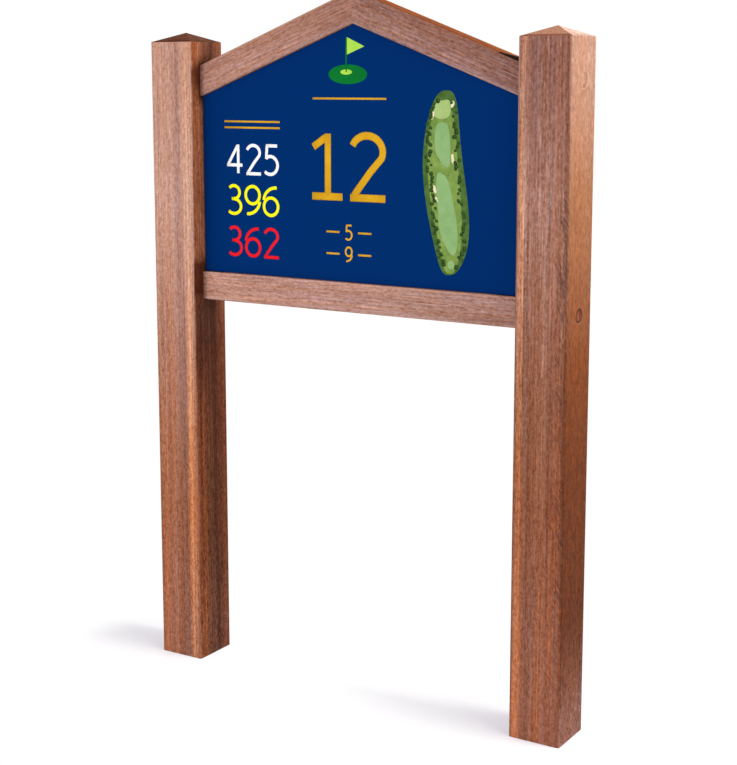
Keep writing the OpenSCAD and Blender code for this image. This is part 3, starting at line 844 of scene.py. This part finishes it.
def dress_frame():
    """Materials of the CAD nodes."""
    paint(make_post_material("left_post_hardwood", LEFT_POST), "left_post")
    paint(make_post_material("right_post_hardwood", RIGHT_POST), "right_post")
    paint(make_rail_material("bottom_rail_hardwood", BOTTOM_RAIL), "bottom_rail")
    paint(make_rail_material("left_gable_hardwood", LEFT_GABLE), "left_gable_rail")
    paint(make_rail_material("right_gable_hardwood", RIGHT_GABLE), "right_gable_rail")
    for name, turn in BEAD_TURNS.items():
        paint(make_bead_material(name + "_hardwood", turn), name)
    paint(make_plug_material(), "post_plugs")
    for name, kind, tone, other_tone, scale, rough, gloss, *node_names in FINISHES:
        paint(make_finish(name, kind, tone, other_tone, scale, rough, gloss), *node_names)


# Print on the panel


PRINT_THICKNESS = 0.2 * MM
# How much each layer of the print lies proud of the one below
LAYER = 0.06 * MM
INK_ROUGHNESS = 0.55
INK_GLOSS = 0.05
# The ink materials, each of two close colours with a mottle of its own scale
INKS = {
    name: make_finish(name, PRINT, tone, other_tone, scale, INK_ROUGHNESS, INK_GLOSS)
    for name, tone, other_tone, scale in (
        ("white_ink", (255, 255, 255), (248, 249, 250), 40.0),
        ("yellow_ink", (255, 250, 10), (250, 244, 8), 40.0),
        ("red_ink", (240, 26, 34), (230, 22, 32), 40.0),
        ("gold_ink", (220, 166, 30), (212, 158, 28), 40.0),
        ("deep_green", (0, 116, 42), (0, 108, 40), 40.0),
        ("lime_green", (176, 222, 82), (160, 212, 74), 40.0),
        ("rough_green", (84, 116, 54), (60, 92, 38), 60.0),
        ("mid_green", (134, 160, 80), (106, 136, 62), 60.0),
        ("fairway_green", (144, 180, 120), (132, 170, 110), 50.0),
        ("putting_green", (170, 194, 122), (160, 186, 112), 60.0),
        ("sand", (238, 228, 190), (226, 214, 172), 90.0),
        ("tree_green", (30, 52, 24), (44, 70, 30), 160.0),
        ("leaf_green", (66, 94, 40), (52, 80, 34), 200.0),
    )
}


def print_piece(name, shape, ink, lift=0.0):
    """Lays a shape drawn in XY, with its depth along Z, on the panel's front as a piece of its own."""
    bmesh.ops.transform(shape, matrix=Matrix.Rotation(math.pi / 2, 4, "X"), verts=shape.verts)
    bmesh.ops.translate(shape, vec=(0.0, PANEL_FRONT_Y - lift, 0.0), verts=shape.verts)
    bmesh.ops.recalc_face_normals(shape, faces=shape.faces)
    mesh = bpy.data.meshes.new(name)
    shape.to_mesh(mesh)
    shape.free()
    mesh.materials.append(INKS[ink])
    piece = add_object(name, mesh)
    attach(piece, "root")


def print_layer(name, shape, ink, level=0):
    """Thickens flat faces in XY to a level of the print, and lays them on the panel."""
    made = bmesh.ops.extrude_face_region(shape, geom=list(shape.faces))
    raised = [item for item in made["geom"] if isinstance(item, bmesh.types.BMVert)]
    bmesh.ops.translate(shape, vec=(0.0, 0.0, PRINT_THICKNESS / 2 + LAYER * level), verts=raised)
    print_piece(name, shape, ink)


def draw_strokes(strokes, width):
    """Strokes of one width as a shape in XY, a little thicker along Z than it is proud."""
    curve = bpy.data.curves.new("strokes", "CURVE")
    curve.dimensions = "3D"
    curve.bevel_depth = width / 2
    curve.bevel_resolution = 2
    curve.use_fill_caps = True
    for points in strokes:
        closed = len(points) > 2 and (Vector(points[0]) - Vector(points[-1])).length < 1e-9
        if closed:
            points = points[:-1]
        spline = curve.splines.new("POLY")
        spline.points.add(len(points) - 1)
        for point, (x, y) in zip(spline.points, points):
            point.co = (x, y, 0.0, 1.0)
        spline.use_cyclic_u = closed
    holder = add_object("strokes", curve)
    bpy.context.view_layer.update()
    mesh = bpy.data.meshes.new_from_object(holder)
    bpy.data.objects.remove(holder)
    shape = bmesh.new()
    shape.from_mesh(mesh)
    bpy.data.meshes.remove(mesh)
    bmesh.ops.remove_doubles(shape, verts=shape.verts, dist=1e-6)
    bmesh.ops.scale(shape, vec=(1.0, 1.0, PRINT_THICKNESS / width), verts=shape.verts)
    return shape


def arc(centre_x, centre_y, across, up, start, end, steps=20):
    """Points along part of an ellipse, from one angle in degrees to another."""
    points = []
    for step in range(steps + 1):
        angle = math.radians(start + (end - start) * step / steps)
        points.append((centre_x + across * math.cos(angle), centre_y + up * math.sin(angle)))
    return points


# Each figure's width and strokes, in a box 1 high
FIGURE_STROKES = {
    "1": (0.46, [[(0.02, 0.80), (0.22, 0.96)], [(0.25, 1.02), (0.25, 0.0)], [(0.0, 0.0), (0.48, 0.0)]]),
    "2": (0.52, [arc(0.25, 0.74, 0.24, 0.26, 158, -22) + [(0.30, 0.42), (0.05, 0.04)],
                 [(-0.01, 0.0), (0.53, 0.0)]]),
    "3": (0.50, [arc(0.22, 0.765, 0.21, 0.235, 140, -90) + [(0.13, 0.53)],
                 [(0.13, 0.53)] + arc(0.22, 0.265, 0.26, 0.265, 90, -138)]),
    "4": (0.56, [[(0.38, 0.98), (0.03, 0.32)], [(-0.02, 0.29), (0.56, 0.29)], [(0.40, 1.02), (0.40, 0.0)]]),
    "5": (0.48, [[(0.46, 1.0), (0.05, 1.0)], [(0.09, 1.0), (0.06, 0.54)],
                 [(0.05, 0.55)] + arc(0.20, 0.315, 0.27, 0.315, 104, -136)]),
    "6": (0.52, [arc(0.44, 0.50, 0.44, 0.48, 86, 176), arc(0.26, 0.31, 0.255, 0.31, 0, 360, 32)]),
    "9": (0.52, [arc(0.08, 0.50, 0.44, 0.48, -94, -4), arc(0.26, 0.69, 0.255, 0.31, 0, 360, 32)]),
}
FIGURE_GAP = 0.15
# Name, text, box (left, right, low, high) on the panel, stroke width and ink
NUMBERS = (
    ("distance_white", "425", (-0.281, -0.161, 0.943, 1.001), 0.0062, "white_ink"),
    ("distance_yellow", "396", (-0.281, -0.161, 0.868, 0.926), 0.0062, "yellow_ink"),
    ("distance_red", "362", (-0.281, -0.161, 0.791, 0.849), 0.0062, "red_ink"),
    ("hole_number", "12", (-0.096, 0.070, 0.904, 1.027), 0.0138, "gold_ink"),
    ("small_number_upper", "5", (-0.020, -0.003, 0.834, 0.863), 0.0036, "gold_ink"),
    ("small_number_lower", "9", (-0.020, -0.003, 0.795, 0.824), 0.0036, "gold_ink"),
)
# Plain gold rules: left end, right end and height
RULE_WIDTH = 0.0036
RULES = (
    (-0.284, -0.159, 1.030),
    (-0.284, -0.159, 1.041),
    (-0.087, 0.066, 1.084),
    *((left, right, z) for z in (0.8485, 0.8095) for left, right in ((-0.059, -0.031), (0.008, 0.036))),
)


def number_shape(text, left, right, low, high, width):
    """Figures set to fill a box on the panel."""
    total = sum(FIGURE_STROKES[sign][0] for sign in text) + FIGURE_GAP * (len(text) - 1)
    scale_x = (right - left - width) / total
    scale_y = high - low - width
    strokes = []
    pen = 0.0
    for sign in text:
        sign_width, paths = FIGURE_STROKES[sign]
        for path in paths:
            strokes.append([(left + width / 2 + (pen + x) * scale_x, low + width / 2 + y * scale_y)
                            for x, y in path])
        pen += sign_width + FIGURE_GAP
    return draw_strokes(strokes, width)


def print_numbers():
    """The numbers and the plain rules round them."""
    for name, text, box, width, ink in NUMBERS:
        print_piece(name, number_shape(text, *box, width), ink)
    rules = draw_strokes([[(left, z), (right, z)] for left, right, z in RULES], RULE_WIDTH)
    print_piece("gold_rules", rules, "gold_ink")


# The hole map: a made-up hole that bends twice, in a box on the panel's right
MAP_MIDDLE_X = 0.186
MAP_LOW_Z = 0.778
MAP_HIGH_Z = 1.103
# Ovals by layer: middle from the map's middle and its low end, half sizes, unevenness and seed
MAP_LAYERS = (
    ("map_rough", "rough_green", ((0.0, 0.1625, 0.0385, 0.1625, 0.05, 3),)),
    ("map_light_rough", "mid_green", ((-0.001, 0.1605, 0.028, 0.152, 0.06, 8),)),
    ("map_fairway", "fairway_green", (
        (-0.002, 0.112, 0.0165, 0.070, 0.10, 11),
        (0.001, 0.232, 0.0155, 0.036, 0.10, 17),
        (0.001, 0.026, 0.0065, 0.007, 0.05, 5),
    )),
    ("map_green", "putting_green", ((-0.002, 0.289, 0.0155, 0.017, 0.07, 21),)),
    ("map_bunkers", "sand", (
        (-0.0205, 0.279, 0.0034, 0.0066, 0.12, 31),
        (0.0165, 0.298, 0.0032, 0.0058, 0.12, 32),
        (0.0195, 0.206, 0.0028, 0.0082, 0.12, 33),
        (-0.0205, 0.154, 0.0030, 0.0064, 0.12, 34),
        (-0.0195, 0.137, 0.0024, 0.0042, 0.12, 35),
    )),
)
MAP_SWAY = 0.009
TREE_COUNT = 104
TREE_RADII = (0.0024, 0.0042)
# The belts of trees: half the hole's width at its middle, how far in they reach, and the share of
# places left open on the left, -1, and on the right, 1
BELT_EDGE = 0.0325
BELT_DEPTH = 0.0095
BELT_GAPS = {-1: 0.08, 1: 0.30}


def map_bend(height):
    """How far the made-up hole lies to the right of the map's middle at a height."""
    share = (height - MAP_LOW_Z) / (MAP_HIGH_Z - MAP_LOW_Z)
    return MAP_SWAY * math.sin(math.pi * (1.55 * share + 0.35))


def add_blob(shape, middle_x, middle_z, half_x, half_z, rough_edge, seed, segments=56):
    """Adds a flat, slightly uneven oval in XY, which follows the map's bend."""
    draw = random.Random(seed)
    phases = [draw.uniform(0, 2 * math.pi) for _ in range(4)]
    made = bmesh.ops.create_circle(shape, cap_ends=True, segments=segments, radius=1.0)
    for vert in made["verts"]:
        angle = math.atan2(vert.co.y, vert.co.x)
        swell = 1.0
        for order, phase in enumerate(phases):
            swell += rough_edge * math.sin((order + 2) * angle + phase) / (order + 1)
        x = middle_x + half_x * swell * math.copysign(abs(vert.co.x) ** 0.72, vert.co.x)
        y = middle_z + half_z * swell * vert.co.y
        vert.co = (x + map_bend(y), y, 0.0)


def add_trees(shape, size, offset):
    """Adds small round tree tops in belts along both edges of the hole."""
    draw = random.Random(44)
    for index in range(TREE_COUNT):
        share = (index + draw.uniform(0.1, 0.9)) / TREE_COUNT
        side = -1 if index % 2 else 1
        z = MAP_LOW_Z + 0.016 + share * (MAP_HIGH_Z - MAP_LOW_Z - 0.030)
        edge = BELT_EDGE * math.sqrt(max(0.0, 1 - (2 * share - 1) ** 6))
        x = MAP_MIDDLE_X + side * (edge + draw.uniform(-BELT_DEPTH, 0.0))
        radius = draw.uniform(*TREE_RADII) * size
        skipped = draw.random() < BELT_GAPS[side]
        if not skipped:
            add_blob(shape, x + offset * radius, z + offset * radius, radius, radius, 0.10, index, 12)


def print_map():
    """The made-up hole's map, layer on layer."""
    for level, (name, ink, ovals) in enumerate(MAP_LAYERS):
        shape = bmesh.new()
        for off_x, off_z, *rest in ovals:
            add_blob(shape, MAP_MIDDLE_X + off_x, MAP_LOW_Z + off_z, *rest)
        print_layer(name, shape, ink, level)
    for name, ink, size, offset, level in (("map_trees", "tree_green", 1.0, 0.0, 5),
                                           ("map_tree_tops", "leaf_green", 0.55, 0.35, 6)):
        shape = bmesh.new()
        add_trees(shape, size, offset)
        print_layer(name, shape, ink, level)


POLE_X = -0.016
POLE_LOW_Z = 1.130
POLE_TOP_Z = 1.190
POLE_WIDTH = 0.0030


def flat_oval(middle_x, middle_z, half_x, half_z, segments):
    """A flat oval in XY."""
    shape = bmesh.new()
    bmesh.ops.create_circle(shape, cap_ends=True, segments=segments, radius=1.0)
    bmesh.ops.scale(shape, vec=(half_x, half_z, 1.0), verts=shape.verts)
    bmesh.ops.translate(shape, vec=(middle_x, middle_z, 0.0), verts=shape.verts)
    return shape


def print_flag():
    """A plain flag on a mound, at the top of the panel."""
    print_layer("flag_mound", flat_oval(-0.013, 1.126, 0.040, 0.017, 64), "deep_green")
    print_layer("flag_cup", flat_oval(POLE_X, POLE_LOW_Z, 0.012, 0.0045, 40), "lime_green", 1)
    pole = draw_strokes([[(POLE_X, POLE_LOW_Z), (POLE_X, POLE_TOP_Z)]], POLE_WIDTH)
    print_piece("flag_pole", pole, "deep_green", 2 * LAYER)
    pennant = bmesh.new()
    hoist_x = POLE_X + POLE_WIDTH / 2
    corners = ((hoist_x, POLE_TOP_Z), (hoist_x, POLE_TOP_Z - 0.030), (hoist_x + 0.036, POLE_TOP_Z - 0.016))
    pennant.faces.new([pennant.verts.new((x, z, 0.0)) for x, z in corners])
    print_layer("flag_pennant", pennant, "lime_green")


# Camera, floor and light


def make_camera():
    """The photograph's view: pitched down a little, with its frame shifted a little further down."""
    data = bpy.data.cameras.new("photo_camera")
    data.lens = CAMERA_LENS
    data.sensor_width = 36.0
    data.shift_y = CAMERA_SHIFT_Y
    data.dof.use_dof = False
    camera = add_object("photo_camera", data)
    camera.location = CAMERA_PLACE
    camera.rotation_euler = (math.pi / 2 - CAMERA_PITCH, 0.0, CAMERA_YAW)
    bpy.context.scene.camera = camera


def add_softbox(name, place, aim, width, height, level, colour=(1.0, 1.0, 1.0)):
    """An oblong area lamp. Its level is what a white surface that faces it shows."""
    data = bpy.data.lights.new(name, "AREA")
    data.shape = "RECTANGLE"
    data.size = width
    data.size_y = height
    data.color = colour
    throw = Vector(aim) - Vector(place)
    data.energy = level * (math.pi * throw.length) ** 2
    lamp = add_object(name, data)
    lamp.location = place
    lamp.rotation_mode = "QUATERNION"
    lamp.rotation_quaternion = throw.to_track_quat("-Z", "Y")


WORLD_LEVEL = 0.60


def background_seen(tree):
    """1 for the rays that show the background: camera, glossy and transmission rays."""
    rays = tree.nodes.new("ShaderNodeLightPath").outputs
    names = ("Is Camera Ray", "Is Transmission Ray", "Is Glossy Ray")
    camera, transmission, glossy = (Field(tree, rays[name]) for name in names)
    return camera.larger(transmission).larger(glossy)


def make_light():
    """Even daylight all round, a soft lamp from the right, a weaker one from the front and one above."""
    world = bpy.data.worlds.new("studio")
    bpy.context.scene.world = world
    world.use_nodes = True
    inputs = world.node_tree.nodes["Background"].inputs
    fill(inputs["Strength"], background_seen(world.node_tree).between(WORLD_LEVEL, 1.0))
    fill(inputs["Color"], (1.0, 1.0, 1.0, 1.0))
    add_softbox("key_right", (5.1, -0.1, 6.8), (0.0, 0.0, 0.3), 5.4, 3.0, 0.46, (1.0, 0.99, 0.96))
    add_softbox("front_fill", (-1.6, -7.2, 1.3), (0.0, 0.0, 0.7), 7.0, 2.4, 0.35)
    add_softbox("overhead_strip", (1.4, 0.14, 8.0), (0.0, 0.0, 0.0), 0.45, 1.8, 0.26)


FLOOR_RADIUS = 14.0
FLOOR_TONE = (0.82, 0.82, 0.82, 1.0)
# The floor's own colour and glow as the camera sees them, near a post and away from it
NEAR_TONE = (0.60, 0.61, 0.55, 1.0)
NEAR_GLOW = (0.40, 0.38, 0.46, 1.0)
FAR_TONE = (0.0, 0.0, 0.0, 1.0)
FAR_GLOW = (1.02, 1.02, 1.02, 1.0)
# Where the floor shows the posts' shadows: middle along X, and where they fade
SHADE_SPOTS = ((POST_CENTRE_X - 0.13, 0.14, 0.34), (-POST_CENTRE_X - 0.10, 0.07, 0.19))


def make_floor():
    """A pale floor that shows white to the camera and keeps the sign's shadow."""
    shape = bmesh.new()
    bmesh.ops.create_circle(shape, cap_ends=True, segments=96, radius=FLOOR_RADIUS)
    mesh = bpy.data.meshes.new("studio_floor")
    shape.to_mesh(mesh)
    shape.free()
    floor = add_object("studio_floor", mesh)
    floor.location = (0.0, 0.0, -0.0005)
    material, shader, place, _ = new_material("studio_floor")
    tree = material.node_tree
    tree.nodes.remove(shader)
    near = 0.0
    for centre_x, full, gone in SHADE_SPOTS:
        distance = place.moved((-centre_x, 0.01, 0.0)).length()
        near = distance.spread(full, gone, 1.0, 0.0, smooth=True).larger(near)
    seen = background_seen(tree)
    tone = seen.blend(FLOOR_TONE, near.blend(FAR_TONE, NEAR_TONE))
    diffuse = seen.node("BsdfDiffuse", {}, {"Color": tone})
    glow = {"Color": near.blend(FAR_GLOW, NEAR_GLOW), "Strength": seen}
    emission = seen.node("Emission", {}, glow)
    both = seen.node("AddShader", {}, {0: diffuse, 1: emission})
    fill(tree.nodes["Material Output"].inputs["Surface"], both)
    mesh.materials.append(material)


make_camera()
make_light()
make_floor()
dress_frame()
print_numbers()
print_map()
print_flag()
bpy.context.scene.view_settings.view_transform = "Standard"
